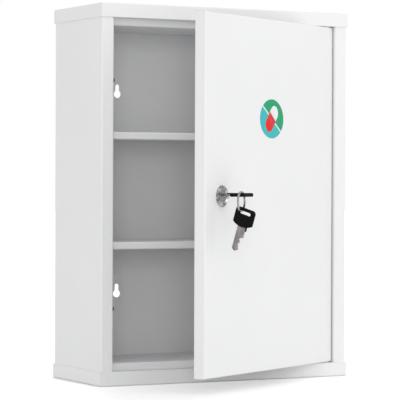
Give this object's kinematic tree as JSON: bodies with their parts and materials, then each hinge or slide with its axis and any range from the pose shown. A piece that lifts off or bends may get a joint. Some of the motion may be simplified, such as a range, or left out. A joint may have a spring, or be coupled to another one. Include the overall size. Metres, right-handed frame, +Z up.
{
  "type": "lockable medicine cabinet",
  "caption": "Shallow steel wall cabinet with an inset hinged door, cam lock with key and spare key on a ring, shelves and keyholes in the back.",
  "frame": {"origin": "middle of the underside of the bottom cap", "axes": "+X to the right seen from the front, -Y out of the front where the door opens, +Y towards the wall, +Z up"},
  "size_m": [0.3, 0.2742, 0.4],
  "materials": {
    "white_paint": "satin powder coat",
    "zinc_steel": "bright zinc plate",
    "nylon": "natural nylon",
    "bumper_rubber": "matt",
    "emblem_vinyl": "printed vinyl",
    "lock_chrome": "chrome plate",
    "plug_nickel": "nickel plate",
    "wafer_brass": "stamped",
    "key_nickel": "nickel plate",
    "key_plastic": "fine grain",
    "ring_steel": "nickel plate"
  },
  "bodies": {
    "cabinet": {"bottom_cap": "white_paint", "top_cap": "white_paint", "left_side_panel": "white_paint", "right_side_panel": "white_paint", "back_panel": "white_paint", "floor_panel": "white_paint", "ceiling_panel": "white_paint", "lower_shelf": "white_paint", "upper_shelf": "white_paint", "lower_left_bracket": "white_paint", "lower_right_bracket": "white_paint", "upper_left_bracket": "white_paint", "upper_right_bracket": "white_paint", "door_bumpers": "bumper_rubber", "lower_pivot_pin": "zinc_steel", "upper_pivot_pin": "zinc_steel", "lower_thrust_washer": "nylon", "upper_thrust_washer": "nylon"},
    "door": {"door_panel": "white_paint", "door_stiffener": "white_paint", "door_emblem": "emblem_vinyl", "lower_pivot_bush": "nylon", "upper_pivot_bush": "nylon", "lock_housing": "lock_chrome", "lock_washer": "zinc_steel", "lock_nut": "zinc_steel"},
    "lock_rotor": {"lock_plug": "plug_nickel", "plug_upper_half": "plug_nickel", "plug_lower_half": "plug_nickel", "lock_wafers": "wafer_brass", "lock_cam": "zinc_steel", "cam_washer": "zinc_steel", "cam_screw": "zinc_steel"},
    "key": {"key_blade": "key_nickel", "key_head": "key_plastic"},
    "ring": {"split_ring": "ring_steel"},
    "spare_key": {"spare_key_blade": "key_nickel", "spare_key_head": "key_plastic"}
  },
  "joints": [
    {"name": "door_swing", "type": "hinge", "parent": "cabinet", "child": "door", "pos_m": [0.126, -0.054, 0.016], "axis": [0, 0, 1], "range_deg": [-30, 85]},
    {"name": "key_turn", "type": "hinge", "parent": "door", "child": "lock_rotor", "pos_m": [-0.06809, -0.17183, 0.199], "axis": [-0.5, 0.866, 0], "range_deg": [0, 90]},
    {"name": "key_pull", "type": "slide", "parent": "lock_rotor", "child": "key", "axis": [0.5, -0.866, 0], "range_m": [0, 0.018]},
    {"name": "ring_swing", "type": "hinge", "parent": "key", "child": "ring", "pos_m": [-0.06101, -0.19969, 0.2006], "axis": [0.6561, -0.7547, 0], "range_deg": [-15, 15]},
    {"name": "spare_key_swing", "type": "hinge", "parent": "ring", "child": "spare_key", "pos_m": [-0.06101, -0.19969, 0.18411], "axis": [0.866, 0.5, 0], "range_deg": [-25, 25]}
  ]
}
